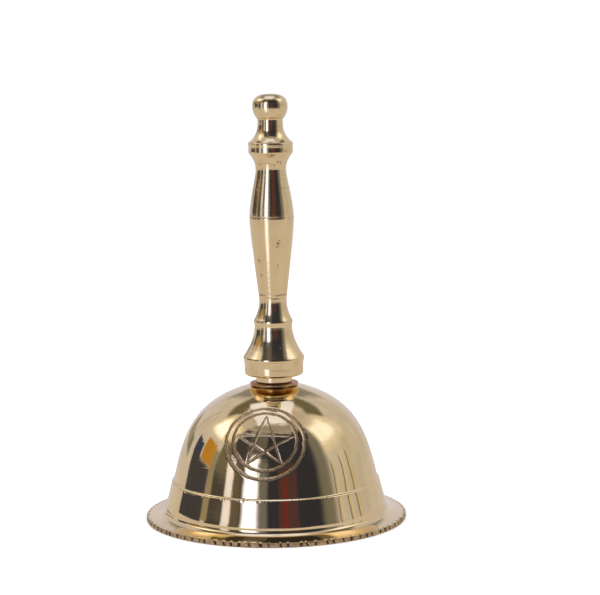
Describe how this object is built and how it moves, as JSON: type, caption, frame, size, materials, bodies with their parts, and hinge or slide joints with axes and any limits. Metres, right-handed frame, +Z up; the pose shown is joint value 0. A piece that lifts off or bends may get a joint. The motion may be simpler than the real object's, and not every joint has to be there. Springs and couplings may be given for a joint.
{
  "type": "sanctus bell",
  "caption": "Brass altar hand bell with a flared nicked brim, an engraved star roundel, a slim turned handle and a ball clapper on a swivelling fork.",
  "frame": {"origin": "on the resting plane under the brim, on the bell's own axis", "axes": "+Z up along the bell's axis towards the handle's knob; the engraved roundel faces -Y; +X to the right of someone who faces the roundel"},
  "size_m": [0.062, 0.062, 0.1008],
  "materials": {
    "cup_brass": "polished, fine lathe lines",
    "washer_brass": "tarnished red-brown",
    "handle_brass": "polished, small casting pits",
    "stud_steel": "plain steel",
    "washer_steel": "plain steel",
    "nut_steel": "plain steel",
    "hanger_brass": "unpolished strip",
    "pin_steel": "plain steel",
    "rod_brass": "unpolished",
    "ball_brass": "satin, worn bright where it strikes"
  },
  "bodies": {
    "bell": {"bell_cup": "cup_brass", "crown_washer": "washer_brass", "handle": "handle_brass", "handle_stud": "stud_steel", "inner_washer": "washer_steel", "clamp_nut": "nut_steel"},
    "hanger": {"clapper_hanger": "hanger_brass", "clapper_pin": "pin_steel"},
    "clapper": {"clapper_rod": "rod_brass", "clapper_ball": "ball_brass"}
  },
  "joints": [
    {"name": "hanger_swivel", "type": "hinge", "parent": "bell", "child": "hanger", "pos_m": [0, 0, 0.026], "axis": [0, 0, 1], "continuous": true},
    {"name": "clapper_swing", "type": "hinge", "parent": "hanger", "child": "clapper", "pos_m": [0, 0, 0.02245], "axis": [1, 0, 0], "range_deg": [-68, 68]}
  ]
}
